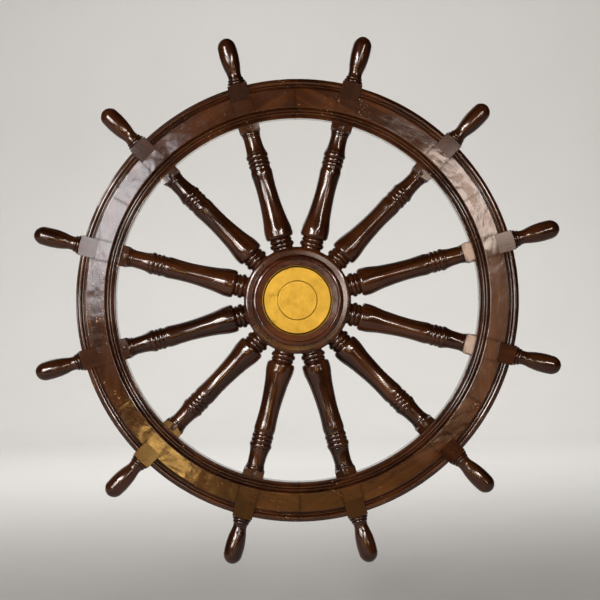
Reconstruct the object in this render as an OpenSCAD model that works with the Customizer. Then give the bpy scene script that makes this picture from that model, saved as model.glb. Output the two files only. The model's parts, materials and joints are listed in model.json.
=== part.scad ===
// Ship's steering wheel: twelve turned spokes and handles in a moulded felloe rim, on a
// segmented hub with brass nave plates, turning on a spindle in a flanged bearing.
//
// Everything is drawn with the wheel's axis along Z and its front upwards, measured from the
// bearing's mounting face at z = 0. upright() then stands it up: front to -Y, top to +Z.

/* [Rim] */
// Radius from the axis to the tips of the handles
tip_r = 762; // [755:1:775]
// Outside radius of the rim
rim_outer_r = 618.5; // [616:0.5:621]
// Inside radius of the rim
rim_inner_r = 508; // [504:1:510]
// Depth of the rim from front face to rear face
rim_depth = 68; // [66:1:72]

/* [Spokes] */
// Thickest radius of a spoke, at its shoulder by the hub
shoulder_r = 39.6; // [38:0.1:41]
// Width of the square block at a spoke's rim end
plinth_w = 59; // [57:0.5:61]
// Depth of that block, front to back
plinth_d = 56; // [54:1:58]

/* [Handles] */
// Thickest radius of a grip
grip_r = 27; // [25:0.5:29]
// Width of the square root block that is let into the rim
block_w = 56; // [54:0.5:58]
// Radius from the axis to the inner end of the root block
block_r0 = 577.5; // [575:0.5:580]

/* [Hub] */
// Outside radius of the ring of spoke roots
hub_r = 149.5; // [147:0.5:151]
// Depth of the ring of spoke roots
hub_depth = 84; // [82:1:88]
// Radius of the turned wooden covers
cover_r = 128; // [126:0.5:130]
// Thickness of each wooden cover
cover_t = 24; // [24:1:27]

/* [Brass] */
// Outside radius of the brass bezel
bezel_r = 97.5; // [96:0.5:99]
// Radius of the centre cap
cap_r = 54; // [52:0.5:58]

/* [Spindle] */
// Diameter of the journal that turns in the bushes
journal_d = 50; // [48:1:51]
// Diameter of the spindle inside the hub
seat_d = 44; // [42:1:45]
// Diameter of the spindle's rear end
tail_d = 40; // [36:1:40]
// Length of the rear end behind the mounting face
tail_l = 70; // [60:1:90]

/* [Bearing] */
// Distance from the mounting face to the middle of the rim
standoff = 150; // [150:1:170]
// Diameter of the mounting flange
flange_d = 190; // [184:1:210]
// Bolt circle diameter of the mounting flange
bolt_pcd = 150; // [146:1:156]
// Diameter of the mounting holes
bolt_hole_d = 13; // [11:0.5:14]

/* [Hidden] */
$fn = 96;
spokes = 12;
felloes = 6;
pitch = 360 / spokes;
first_spoke = pitch / 2;
felloe_arc = 360 / felloes;
joint_gap = 0.05;            // half the hairline between neighbouring wooden pieces
slack = 0.1;                 // clearance round a tenon or a screw
steps = 8;                   // straight pieces that stand for one bead
rim_h = rim_depth / 2;
hub_h = hub_depth / 2;
tenon_w = 30;
tenon_h = 10;                // half its depth
handle_tenon_w = 28;
tenon_meet_r = 557;          // where the tenons of a spoke and its handle meet in the rim
sleeve_r = 45;               // outside radius of the hub sleeve
seat_r = seat_d / 2;
face_z = standoff + hub_h + cover_t;   // face of the front cover
back_z = standoff - hub_h - cover_t;   // back of the rear cover
bolt_ring_r = 75;            // circle of the bolts through the hub
hub_bolt_r = 4;
ledge_r = 90;                // opening in the front cover under the brass plate
plate_t = 3.5;
plate_z = face_z - 2.5;      // underside of the brass plate
plate_r = bezel_r - 4.9;
clamp_z = standoff + hub_h + 6;
clamp_t = 6;
ledge_screw_r = 48;
rear_plate_t = 6;
thread_r = 18;               // front thread of the spindle, under the wheel nut
sleeve_end_z = standoff + hub_h - 4;
washer_t = 4;
nut_h = 18;
key_w = 12;
key_l = 60;
key_z = standoff - 20;
bush_wall = 7;
bush_flange_t = 4;
thrust_t = 2.7;
running = 0.05;              // radial clearance of the journal in its bushes
housing_l = back_z - bush_flange_t - 3;
housing_r = 46;
flange_t = 16;
recess_r = 40;
recess_l = 20;
ring_nut_r = 36;
ring_thread_r = 22;          // rear thread of the spindle, under the ring nut
screw_r = 2.6;

// ---- outlines ------------------------------------------------------------------------

// One turned bead between x0 and x1, standing h above the radius base.
function bead(x0, x1, base, h) =
    [for (i = [0:steps]) [(x0 + x1) / 2 - (x1 - x0) / 2 * cos(180 * i / steps),
                          base + h * sin(180 * i / steps)]];

// Quarter ellipse about [cx, cy], from angle a0 to a1.
function sweep(cx, cy, rx, ry, a0, a1, n = steps) =
    [for (i = [0:n]) let (a = a0 + (a1 - a0) * i / n) [cx + rx * cos(a), cy + ry * sin(a)]];

// Smooth curve through the points p, with n pieces between neighbours.
function flow(p, n = 4) =
    [for (i = [0:len(p) - 2]) let (
        a = p[i], b = p[i + 1],
        ma = (i == 0 ? b - a : (b - p[i - 1]) / (b[0] - p[i - 1][0]) * (b[0] - a[0])),
        mb = (i == len(p) - 2 ? b - a : (p[i + 2] - a) / (p[i + 2][0] - a[0]) * (b[0] - a[0])))
     for (j = [0:n - (i == len(p) - 2 ? 0 : 1)]) let (t = j / n)
        (2 * t * t * t - 3 * t * t + 1) * a + (t * t * t - 2 * t * t + t) * ma
        + (3 * t * t - 2 * t * t * t) * b + (t * t * t - t * t) * mb];

// Solid turned about its own length: the outline gives [distance along X, radius].
module turned(outline) {
    first = outline[0];
    last = outline[len(outline) - 1];
    rotate([0, 90, 0])
        rotate_extrude()
            polygon([for (p = concat([[first[0], 0]], outline, [[last[0], 0]])) [p[1], p[0]]]);
}

// ---- placing -------------------------------------------------------------------------

module upright() {
    rotate([90, 0, 0]) children();
}

// Moves a piece of the wheel from the rim's middle plane to its distance from the bearing.
module on_wheel() {
    upright() translate([0, 0, standoff]) children();
}

module at_spoke(k) {
    rotate([0, 0, first_spoke + pitch * k]) children();
}

module around(n, r, start = 0) {
    for (i = [0:n - 1]) rotate([0, 0, start + 360 / n * i]) translate([r, 0, 0]) children();
}

module ring(r_out, r_in, h) {
    difference() {
        cylinder(r = r_out, h = h);
        translate([0, 0, -1]) cylinder(r = r_in, h = h + 2);
    }
}

// Wedge of the plane from -arc/2 to arc/2, with each straight side set back by gap.
module sector(r, arc, gap, h) {
    inset = gap / sin(arc / 2);
    linear_extrude(h, center = true)
        polygon([[inset, 0],
                 [inset + r, -r * tan(arc / 2)],
                 [inset + r, r * tan(arc / 2)]]);
}

// ---- spokes --------------------------------------------------------------------------

spoke_span = rim_inner_r - hub_r;
span_drawn = 358.5;          // the spoke's stations below are drawn for this length
function along(p) = [for (q = p) [hub_r + q[0] * spoke_span / span_drawn, q[1]]];

vase = [[40, shoulder_r], [57, 39.1], [74, 36.3], [90.5, 33.5], [115.6, 31],
        [143.6, 29], [171.5, 28.2], [199.5, 28.9], [215, 30], [222, 30.1], [228, 29.5]];
bell = [[278.5, 29], [283, 27.5], [291.5, 25.9], [302.5, 24.9], [319.5, 24.4], [324, 24.5]];

spoke_outline = along(concat(
    [[-8, 29], [3.6, 29]],
    bead(4, 18, 29.5, 5),
    bead(18.4, 28, 28.9, 2.9),
    [[28.4, 29.4]],
    sweep(40, 31.4, 10.6, shoulder_r - 31.4, 180, 96),
    flow(vase),
    [[231, 28.4], [237.6, 28.4]],
    bead(238, 250, 27.8, 2.8),
    bead(250.4, 261.8, 27.8, 2),
    bead(262.2, 277, 28, 3.3),
    flow(bell),
    bead(325, 331.4, 24.3, 1.6),
    [[331.8, 26.9], [335.6, 26.9]]));

// The square block and its turned shoulder, and the tenon that enters the rim.
module spoke_plinth() {
    start = hub_r + 334 * spoke_span / span_drawn;
    intersection() {
        translate([start, -plinth_w / 2, -plinth_d / 2])
            cube([rim_inner_r - start, plinth_w, plinth_d]);
        turned([[start, 26.9], [start + 3, 27.6], [start + 5, 31], [start + 12, 44],
                [rim_inner_r + 1, 44]]);
        cylinder(r = rim_inner_r - joint_gap, h = plinth_d + 2, center = true);
    }
    translate([rim_inner_r - 2, -tenon_w / 2, -tenon_h])
        cube([tenon_meet_r - rim_inner_r + 2, tenon_w, 2 * tenon_h]);
}

// The root: one twelfth of the hub ring, with rounded outer corners.
module spoke_root() {
    round_r = 11;
    round_h = 9;
    intersection() {
        rotate_extrude()
            polygon(concat(
                [[sleeve_r + joint_gap, -hub_h]],
                sweep(hub_r - round_r, round_h - hub_h, round_r, round_h, -90, 0),
                sweep(hub_r - round_r, hub_h - round_h, round_r, round_h, 0, 90),
                [[sleeve_r + joint_gap, hub_h]]));
        sector(hub_r + 20, pitch, joint_gap, hub_depth + 2);
    }
}

module spoke(k) {
    color("#4b2413")
        on_wheel() at_spoke(k) difference() {
            union() {
                spoke_root();
                turned(spoke_outline);
                spoke_plinth();
            }
            translate([bolt_ring_r, 0, -hub_h - 1])
                cylinder(r = hub_bolt_r + slack, h = hub_depth + 2);
            translate([spoke_screw_r, 0, -tenon_h - 1])
                cylinder(r = screw_r + slack, h = 2 * tenon_h + 2);
        }
}

// ---- handles -------------------------------------------------------------------------

grip_l = tip_r - rim_outer_r;
grip_drawn = 143.5;          // the grip's stations below are drawn for this length
function out(p) = [for (q = p) [rim_outer_r + q[0] * grip_l / grip_drawn, q[1]]];

swell = [[27, 20.6], [36, 19.4], [46, 20.7], [57, 23.2], [73.5, 25.7], [93.5, grip_r],
         [108, 26.7]];
handle_outline = out(concat(
    [[-1, 23.4], [10, 23.4]],
    bead(10.2, 18.2, 23.4, 3),
    bead(18.6, 26.6, 20.4, 2.8),
    flow(swell),
    sweep(113.5, 0, 30, 26.5, 80, 0, 12)));

module handle(k) {
    color("#4b2413")
        on_wheel() at_spoke(k) difference() {
            union() {
                turned(handle_outline);
                intersection() {
                    translate([block_r0, -block_w / 2, -rim_h])
                        cube([60, block_w, rim_depth]);
                    turned(concat([[block_r0 - 1, 49], [rim_outer_r - 7, 49]],
                                  sweep(rim_outer_r - 7, 27, 17, 22, 90, 0)));
                }
                translate([tenon_meet_r + joint_gap, -handle_tenon_w / 2, -tenon_h])
                    cube([block_r0 - tenon_meet_r + 1, handle_tenon_w, 2 * tenon_h]);
            }
            translate([handle_screw_r, 0, -tenon_h - 1])
                cylinder(r = screw_r + slack, h = 2 * tenon_h + 2);
        }
}

// ---- rim -----------------------------------------------------------------------------

spoke_screw_r = 549;
handle_screw_r = 567.5;
felloe_screw_r = 566;
screw_lean = 3.5;            // angle from a felloe joint to the screws beside it
screw_l = 50;

// Section of the rim's front half, [radius, height above the middle plane].
rim_outline = concat(
    [[rim_inner_r, 0], [rim_inner_r, rim_h - 10]],
    sweep(rim_inner_r + 2.5, rim_h - 10, 2.5, 2.5, 180, 90, 4),
    flow([[rim_inner_r + 3, rim_h - 7.6], [rim_inner_r + 6.4, rim_h - 9.4],
          [rim_inner_r + 9.6, rim_h - 11.8]]),
    bead(rim_inner_r + 10, rim_inner_r + 17.8, rim_h - 11.2, 5.4),
    bead(rim_inner_r + 18.1, rim_inner_r + 24.1, rim_h - 9.6, 4.2),
    [[rim_inner_r + 24.8, rim_h - 9.8], [rim_inner_r + 28.6, rim_h - 2.6]],
    sweep(rim_inner_r + 31, rim_h - 2.4, 2.4, 2.4, 180, 90, 4),
    sweep(rim_outer_r - 29.4, rim_h - 2.2, 2.2, 2.2, 90, 0, 4),
    [[rim_outer_r - 25, rim_h - 8.6], [rim_outer_r - 23.4, rim_h - 8.8]],
    bead(rim_outer_r - 23, rim_outer_r - 17.6, rim_h - 8.2, 3.4),
    bead(rim_outer_r - 17.3, rim_outer_r - 4.3, rim_h - 7.8, 5.4),
    [[rim_outer_r - 4, rim_h - 10]],
    sweep(rim_outer_r - 3, rim_h - 13, 3, 3, 90, 0, 4),
    [[rim_outer_r, 0]]);

module wood_screw_hole() {
    translate([0, 0, -rim_h - 0.01]) cylinder(r1 = 5.7, r2 = screw_r + slack, h = 3.4);
    cylinder(r = screw_r + slack, h = screw_l + 1 - rim_h);
    translate([0, 0, -rim_h]) cylinder(r = screw_r + slack, h = rim_h + 1);
}

// Places its children on the axis of every screw of the rim.
module each_rim_screw() {
    for (k = [0:spokes - 1]) {
        at_spoke(k) translate([spoke_screw_r, 0, 0]) children();
        at_spoke(k) translate([handle_screw_r, 0, 0]) children();
        for (side = [-1, 1])
            rotate([0, 0, pitch * k + side * screw_lean])
                translate([felloe_screw_r, 0, 0]) children();
    }
}

// Sixth part of the front half of the rim, cut for two spokes and two handles.
module felloe_blank(centre) {
    difference() {
        intersection() {
            rotate_extrude() polygon(rim_outline);
            rotate([0, 0, centre]) sector(rim_outer_r + 50, felloe_arc, joint_gap, rim_depth + 4);
        }
        for (side = [-1, 1]) rotate([0, 0, centre + side * pitch / 2]) {
            translate([rim_inner_r - 2, -tenon_w / 2 - slack, -1])
                cube([block_r0 - rim_inner_r + 3, tenon_w + 2 * slack, tenon_h + slack + 1]);
            translate([block_r0 - slack, -block_w / 2 - slack, -1])
                cube([80, block_w + 2 * slack, rim_depth]);
        }
    }
}

module front_felloe(i) {
    color("#4a2312")
        on_wheel() difference() {
            felloe_blank(felloe_arc * i);
            for (side = [-1, 1]) rotate([0, 0, felloe_arc * i + side * pitch / 2]) {
                translate([spoke_screw_r, 0, 0]) wood_screw_hole();
                translate([handle_screw_r, 0, 0]) wood_screw_hole();
            }
            for (a = [-pitch, 0, pitch], side = [-1, 1])
                rotate([0, 0, felloe_arc * i + a + side * screw_lean])
                    translate([felloe_screw_r, 0, 0]) wood_screw_hole();
        }
}

module rear_felloe(i) {
    centre = felloe_arc * (i + 0.5);
    color("#45200f")
        on_wheel() difference() {
            mirror([0, 0, 1]) felloe_blank(centre);
            for (side = [-1, 1]) rotate([0, 0, centre + side * pitch / 2]) {
                translate([spoke_screw_r, 0, 0]) wood_screw_hole();
                translate([handle_screw_r, 0, 0]) wood_screw_hole();
            }
            for (a = [-pitch, 0, pitch], side = [-1, 1])
                rotate([0, 0, centre + a + side * screw_lean])
                    translate([felloe_screw_r, 0, 0]) wood_screw_hole();
        }
}

module rim_screws() {
    color("#b08a3c")
        on_wheel() each_rim_screw() difference() {
            union() {
                translate([0, 0, -rim_h]) cylinder(r1 = 5.5, r2 = screw_r, h = 3.2);
                translate([0, 0, 2 - rim_h]) cylinder(r = screw_r, h = screw_l - 6);
                translate([0, 0, screw_l - 4 - rim_h])
                    cylinder(r1 = screw_r, r2 = 0.4, h = 4);
            }
            translate([-6, -0.6, -rim_h - 1]) cube([12, 1.2, 2.4]);
        }
}

// ---- hub covers and brass ------------------------------------------------------------

// Half outline of a cover's outside, [radius, height above the hub ring].
cover_edge = concat(
    [[cover_r - 1, 0], [cover_r, 1], [cover_r, cover_t - 14.6]],
    sweep(cover_r - 12, cover_t - 14, 12, 12, 0, 90),
    [[cover_r - 12.6, cover_t - 3.2], [cover_r - 13.6, cover_t - 3.2],
     [cover_r - 14.4, cover_t - 0.6], [cover_r - 15, cover_t]]);

module bolt_holes(r, h) {
    around(spokes, bolt_ring_r, first_spoke) translate([0, 0, -1]) cylinder(r = r, h = h + 2);
}

module hub_front_cover() {
    color("#4f2412")
        upright() translate([0, 0, standoff + hub_h + joint_gap]) difference() {
            rotate_extrude() polygon(concat(
                [[sleeve_r + 1, 0]], cover_edge,
                [[bezel_r + joint_gap, cover_t], [bezel_r + joint_gap, cover_t - 4.5],
                 [plate_r + 0.4, cover_t - 4.5], [plate_r + 0.4, cover_t - 2.6],
                 [ledge_r, cover_t - 2.6], [ledge_r, 6 - joint_gap],
                 [sleeve_r + 1, 6 - joint_gap]]));
            bolt_holes(hub_bolt_r + slack, cover_t);
        }
}

module hub_rear_cover() {
    color("#4a2110")
        upright() translate([0, 0, standoff - hub_h - joint_gap]) mirror([0, 0, 1]) difference() {
            rotate_extrude() polygon(concat(
                [[sleeve_r + joint_gap, 0]], cover_edge,
                [[bezel_r + joint_gap, cover_t],
                 [bezel_r + joint_gap, cover_t - rear_plate_t - joint_gap],
                 [sleeve_r + joint_gap, cover_t - rear_plate_t - joint_gap]]));
            bolt_holes(hub_bolt_r + slack, cover_t);
        }
}

// Ring of brass with a recess for the centre cap and four countersunk holes under it.
module front_nave_plate() {
    ledge_in = 40;
    color("#d9a93c")
        upright() translate([0, 0, plate_z]) difference() {
            rotate_extrude() polygon(concat(
                [[ledge_in, 0], [plate_r, 0], [plate_r, plate_t - 0.5],
                 [plate_r - 0.5, plate_t], [cap_r + 0.8, plate_t],
                 [cap_r + 0.3, plate_t - 0.4], [cap_r + 0.3, 1.5], [ledge_in, 1.5]]));
            around(4, ledge_screw_r, 45) {
                translate([0, 0, -1]) cylinder(r = 2.2, h = 4);
                translate([0, 0, 0.1]) cylinder(r1 = 2.2, r2 = 3.7, h = 1.5);
            }
        }
}

// Half-round bead, with a dark gap between it and the plate.
module nave_bezel() {
    half_w = (bezel_r - plate_r - 2.6) / 2;
    color("#c9952f")
        upright() translate([0, 0, face_z - 4.4]) rotate_extrude()
            polygon(concat([[bezel_r - 2 * half_w, 0], [bezel_r, 0]],
                           sweep(bezel_r - half_w, 4.4, half_w, 1.6, 0, 180)));
}

module centre_cap() {
    color("#e0b143")
        upright() translate([0, 0, plate_z + 1.5]) rotate_extrude()
            polygon([[0, 0], [cap_r, 0], [cap_r, 1.7], [cap_r - 0.5, 2.2], [0, 2.2]]);
}

module plate_screws() {
    color("#b08a3c")
        upright() translate([0, 0, plate_z]) around(4, ledge_screw_r, 45) difference() {
            union() {
                translate([0, 0, 0.2]) cylinder(r1 = 2, r2 = 3.4, h = 1.2);
                translate([0, 0, clamp_z + 0.5 - plate_z]) cylinder(r = 2, h = plate_z - clamp_z);
            }
            translate([-4, -0.4, 1]) cube([8, 0.8, 2]);
        }
}

module clamp_ring() {
    color("#6f6a60")
        upright() translate([0, 0, clamp_z]) difference() {
            ring(ledge_r - 0.5, 42, clamp_t);
            bolt_holes(hub_bolt_r + slack, clamp_t);
            around(4, ledge_screw_r, 45) translate([0, 0, -1]) cylinder(r = 2.1, h = clamp_t + 2);
        }
}

module rear_nave_plate() {
    color("#c99a3a")
        upright() translate([0, 0, back_z]) difference() {
            ring(bezel_r, sleeve_r + joint_gap, rear_plate_t);
            bolt_holes(hub_bolt_r + slack, rear_plate_t);
        }
}

module hub_sleeve() {
    color("#a8803a")
        upright() translate([0, 0, back_z]) difference() {
            ring(sleeve_r, seat_r, sleeve_end_z - back_z);
            translate([0, -key_w / 2 - joint_gap, -1])
                cube([seat_r + 3.4, key_w + 2 * joint_gap, sleeve_end_z - back_z + 2]);
        }
}

module hub_bolts() {
    head_h = 5.5;
    color("#b58d3e")
        upright() around(spokes, bolt_ring_r, first_spoke) {
            translate([0, 0, back_z - head_h]) cylinder(r = 7.5, h = head_h, $fn = 6);
            translate([0, 0, back_z - 0.5])
                cylinder(r = hub_bolt_r, h = clamp_z + clamp_t + 8.4 - back_z);
        }
}

module hub_bolt_nuts() {
    color("#8b8578")
        upright() around(spokes, bolt_ring_r, first_spoke)
            translate([0, 0, clamp_z + clamp_t]) difference() {
                cylinder(r = 7.5, h = 7, $fn = 6);
                translate([0, 0, -1]) cylinder(r = hub_bolt_r + 0.05, h = 9);
            }
}

// ---- spindle -------------------------------------------------------------------------

module spindle() {
    key_depth = 5;
    tail_r = tail_d / 2;
    color("#8d8f90")
        upright() difference() {
            union() {
                translate([0, 0, -tail_l + 2]) cylinder(r = tail_r, h = tail_l);
                translate([0, 0, -tail_l]) cylinder(r1 = tail_r - 2, r2 = tail_r, h = 2);
                translate([0, 0, -2]) cylinder(r = ring_thread_r, h = recess_l);
                translate([0, 0, recess_l - 4])
                    cylinder(r = journal_d / 2 - running, h = back_z - recess_l + 4);
                translate([0, 0, back_z - 1])
                    cylinder(r = seat_r - 0.02, h = sleeve_end_z - back_z - 0.5);
                translate([0, 0, sleeve_end_z - 2])
                    cylinder(r = thread_r, h = washer_t + nut_h + 3);
                translate([0, 0, sleeve_end_z + washer_t + nut_h + 1])
                    cylinder(r1 = thread_r, r2 = thread_r - 1.5, h = 1.5);
            }
            translate([seat_r - key_depth, -key_w / 2 - joint_gap, key_z - key_l / 2 - joint_gap])
                cube([20, key_w + 2 * joint_gap, key_l + 2 * joint_gap]);
            translate([tail_r - key_depth, -key_w / 2, -tail_l - 1])
                cube([20, key_w, tail_l - 19]);
        }
}

module hub_key() {
    color("#9b9da0")
        upright() translate([seat_r - 5, -key_w / 2, key_z - key_l / 2])
            cube([8, key_w, key_l]);
}

module wheel_nut() {
    color("#a98a4a")
        upright() translate([0, 0, sleeve_end_z + washer_t]) difference() {
            intersection() {
                cylinder(r = 31.5, h = nut_h, $fn = 6);
                union() {
                    cylinder(r = 30.6, h = nut_h - 2);
                    translate([0, 0, nut_h - 2]) cylinder(r1 = 30.6, r2 = 27.4, h = 2);
                }
            }
            translate([0, 0, -1]) cylinder(r = thread_r + 0.05, h = nut_h + 2);
        }
}

module wheel_nut_washer() {
    color("#a98a4a")
        upright() translate([0, 0, sleeve_end_z]) ring(34, thread_r + 0.3, washer_t);
}

// Round nut in the housing's recess, with two spanner slots in its rear face.
module ring_nut() {
    color("#85878a")
        upright() translate([0, 0, 3]) difference() {
            ring(ring_nut_r, ring_thread_r + 0.05, recess_l - bush_flange_t - 3.3);
            for (a = [0, 90]) rotate([0, 0, a])
                translate([-recess_r, -4, -1]) cube([2 * recess_r, 8, 5]);
        }
}

// ---- bearing -------------------------------------------------------------------------

module bearing_housing() {
    bush_r = journal_d / 2 + bush_wall;
    color("#9a7436")
        upright() difference() {
            rotate_extrude() polygon(concat(
                [[0, 0], [flange_d / 2 - 1, 0], [flange_d / 2, 1],
                 [flange_d / 2, flange_t - 4]],
                sweep(flange_d / 2 - 4, flange_t - 4, 4, 4, 0, 90, 5),
                [[housing_r + 14, flange_t]],
                sweep(housing_r + 14, flange_t + 14, 14, 14, 270, 180, 6),
                [[housing_r, housing_l - 10], [housing_r + 2, housing_l - 9],
                 [housing_r + 2, housing_l - 2], [housing_r, housing_l], [0, housing_l]]));
            translate([0, 0, -1]) cylinder(r = bush_r, h = housing_l + 2);
            translate([0, 0, -1]) cylinder(r = recess_r, h = recess_l + 1);
            around(6, bolt_pcd / 2, 30)
                translate([0, 0, -1]) cylinder(d = bolt_hole_d, h = flange_t + 20);
            translate([0, 0, housing_l / 2 + 4]) rotate([-90, 180, 0])
                translate([0, 0, bush_r - 3]) cylinder(r = 5.1, h = 40);
        }
}

module flanged_bush(length) {
    r_in = journal_d / 2;
    r_out = r_in + bush_wall - 0.02;
    difference() {
        union() {
            cylinder(r = r_out, h = length);
            translate([0, 0, length]) cylinder(r = r_out + 6, h = bush_flange_t);
        }
        translate([0, 0, -1]) cylinder(r = r_in, h = length + bush_flange_t + 2);
    }
}

module front_bush() {
    bush_l = 28;
    color("#c08a4a")
        upright() translate([0, 0, housing_l - bush_l]) flanged_bush(bush_l);
}

module rear_bush() {
    bush_l = 18;
    color("#c08a4a")
        upright() translate([0, 0, recess_l + bush_l]) mirror([0, 0, 1]) flanged_bush(bush_l);
}

module thrust_washer() {
    color("#c79a5c")
        upright() translate([0, 0, housing_l + bush_flange_t]) ring(40, journal_d / 2 + 0.3, thrust_t);
}

// Screwed plug of the oil hole on top of the housing.
module oil_plug() {
    color("#c9a24a")
        upright() translate([0, 0, housing_l / 2 + 4]) rotate([-90, 180, 0]) {
            translate([0, 0, journal_d / 2 + bush_wall + 1])
                cylinder(r = 5, h = housing_r - journal_d / 2 - bush_wall);
            translate([0, 0, housing_r]) cylinder(r = 8, h = 2);
            translate([0, 0, housing_r + 2]) cylinder(r = 7, h = 6, $fn = 6);
        }
}

// ---- the parts -----------------------------------------------------------------------

for (k = [0:spokes - 1]) {
    spoke(k);
    handle(k);
}
for (i = [0:felloes - 1]) {
    front_felloe(i);
    rear_felloe(i);
}
rim_screws();
hub_front_cover();
hub_rear_cover();
front_nave_plate();
nave_bezel();
centre_cap();
plate_screws();
clamp_ring();
rear_nave_plate();
hub_sleeve();
hub_bolts();
hub_bolt_nuts();
spindle();
hub_key();
wheel_nut();
wheel_nut_washer();
ring_nut();
bearing_housing();
front_bush();
rear_bush();
thrust_washer();
oil_plug();
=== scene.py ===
"""Ship's steering wheel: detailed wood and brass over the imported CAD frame. Metres, front to -Y."""

import json
import math

import bpy
import numpy as np
from mathutils import Matrix, Quaternion, Vector


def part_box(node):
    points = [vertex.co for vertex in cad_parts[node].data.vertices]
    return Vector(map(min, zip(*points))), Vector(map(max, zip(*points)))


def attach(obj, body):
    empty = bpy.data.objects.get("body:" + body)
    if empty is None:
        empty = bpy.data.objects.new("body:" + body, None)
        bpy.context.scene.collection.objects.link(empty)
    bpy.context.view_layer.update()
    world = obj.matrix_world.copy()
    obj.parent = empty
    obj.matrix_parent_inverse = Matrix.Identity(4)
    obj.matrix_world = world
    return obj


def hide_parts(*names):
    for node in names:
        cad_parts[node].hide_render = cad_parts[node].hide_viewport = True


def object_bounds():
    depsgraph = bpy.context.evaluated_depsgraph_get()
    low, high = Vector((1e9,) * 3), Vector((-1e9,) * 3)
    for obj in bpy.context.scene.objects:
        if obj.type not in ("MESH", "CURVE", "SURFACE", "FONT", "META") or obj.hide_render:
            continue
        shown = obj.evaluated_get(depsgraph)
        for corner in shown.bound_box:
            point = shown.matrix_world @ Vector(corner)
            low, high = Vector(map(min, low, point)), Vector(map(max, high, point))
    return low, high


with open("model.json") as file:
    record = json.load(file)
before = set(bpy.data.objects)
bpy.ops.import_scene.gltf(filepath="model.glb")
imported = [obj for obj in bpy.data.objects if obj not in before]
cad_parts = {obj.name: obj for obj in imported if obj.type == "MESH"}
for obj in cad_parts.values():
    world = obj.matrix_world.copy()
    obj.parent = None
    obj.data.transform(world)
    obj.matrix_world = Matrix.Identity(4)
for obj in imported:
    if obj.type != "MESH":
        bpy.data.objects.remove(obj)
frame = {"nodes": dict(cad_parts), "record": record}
CAD_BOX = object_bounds()
MM = 0.001

# ---- sizes, from the CAD frame where it states them ------------------------------------


def half_depth(node):
    lo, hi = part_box(node)
    return (hi.y - lo.y) / 2


def face_y(node):
    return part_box(node)[0].y


MID_Y = (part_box("spoke_01")[0].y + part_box("spoke_01")[1].y) / 2   # middle plane of the rim
RIM_H = half_depth("handle_01") / MM
HUB_H = half_depth("spoke_01") / MM
RIM_OUT = 618.5
RIM_IN = 508.0
HUB_R = 149.5
COVER_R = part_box("hub_rear_cover")[1].x / MM
BEZEL_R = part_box("nave_bezel")[1].x / MM
CAP_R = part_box("centre_cap")[1].x / MM
PLATE_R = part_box("front_nave_plate")[1].x / MM
COVER_T = (MID_Y - face_y("hub_front_cover")) / MM - HUB_H
SLEEVE_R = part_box("hub_sleeve")[1].x / MM
BLOCK_R0 = 577.5
BLOCK_W = 56.0
PLINTH_W = 59.0
PLINTH_D = 56.0
SPOKES = 12
PITCH = 360 / SPOKES          # degrees
FELLOES = 6                   # in each layer of the rim
GAP = 0.05                    # half a hairline joint
TINY = 1e-6
rng = np.random.default_rng(7)

# ---- outlines, in millimetres -----------------------------------------------------------


def bead(x0, x1, base, h, n=14):
    a = np.linspace(0, math.pi, n + 1)
    return [(((x0 + x1) - (x1 - x0) * math.cos(t)) / 2, base + h * math.sin(t)) for t in a]


def sweep(cx, cy, rx, ry, a0, a1, n=14):
    return [(cx + rx * math.cos(t), cy + ry * math.sin(t))
            for t in np.radians(np.linspace(a0, a1, n + 1))]


def flow(p, n=48):
    """Smooth curve through the points p."""
    out = []
    for i in range(len(p) - 1):
        a, b = np.array(p[i], float), np.array(p[i + 1], float)
        w = b[0] - a[0]
        ma = b - a if i == 0 else (b - np.array(p[i - 1])) / (b[0] - p[i - 1][0]) * w
        mb = b - a if i == len(p) - 2 else (np.array(p[i + 2]) - a) / (p[i + 2][0] - a[0]) * w
        for j in range(n + (i == len(p) - 2)):
            t = j / n
            q = ((2 * t**3 - 3 * t**2 + 1) * a + (t**3 - 2 * t**2 + t) * ma
                 + (3 * t**2 - 2 * t**3) * b + (t**3 - t**2) * mb)
            out.append(tuple(q))
    return out


def softened(outline, step=0.7, blur=0.55):
    """The outline at even steps, its corners rounded off as thick varnish rounds them."""
    fine_step = 0.1
    p = np.array(outline, float)
    keep = np.concatenate([[True], np.linalg.norm(np.diff(p, axis=0), axis=1) > TINY])
    p = p[keep]
    s = np.concatenate([[0], np.cumsum(np.linalg.norm(np.diff(p, axis=0), axis=1))])
    fine = np.arange(0, s[-1], fine_step)
    q = np.stack([np.interp(fine, s, p[:, k]) for k in (0, 1)], 1)
    reach = int(round(3 * blur / fine_step))
    kernel = np.exp(-0.5 * (np.arange(-reach, reach + 1) * fine_step / blur) ** 2)
    kernel /= kernel.sum()
    padded = np.concatenate([2 * q[0] - q[reach:0:-1], q, 2 * q[-1] - q[-2:-reach - 2:-1]])
    q = np.stack([np.convolve(padded[:, k], kernel, "valid") for k in (0, 1)], 1)
    stride = int(round(step / fine_step))
    return np.vstack([p[0], q[::stride][1:], p[-1]])


SPAN = RIM_IN - HUB_R
DRAWN_SPAN = 358.5            # the length for which the spoke's outline is drawn
PLINTH_START = 334            # on that length


def along(points):
    """Points drawn from the hub outwards, fitted to the real distance from hub to rim."""
    return [(HUB_R + x * SPAN / DRAWN_SPAN, r) for x, r in points]


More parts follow.
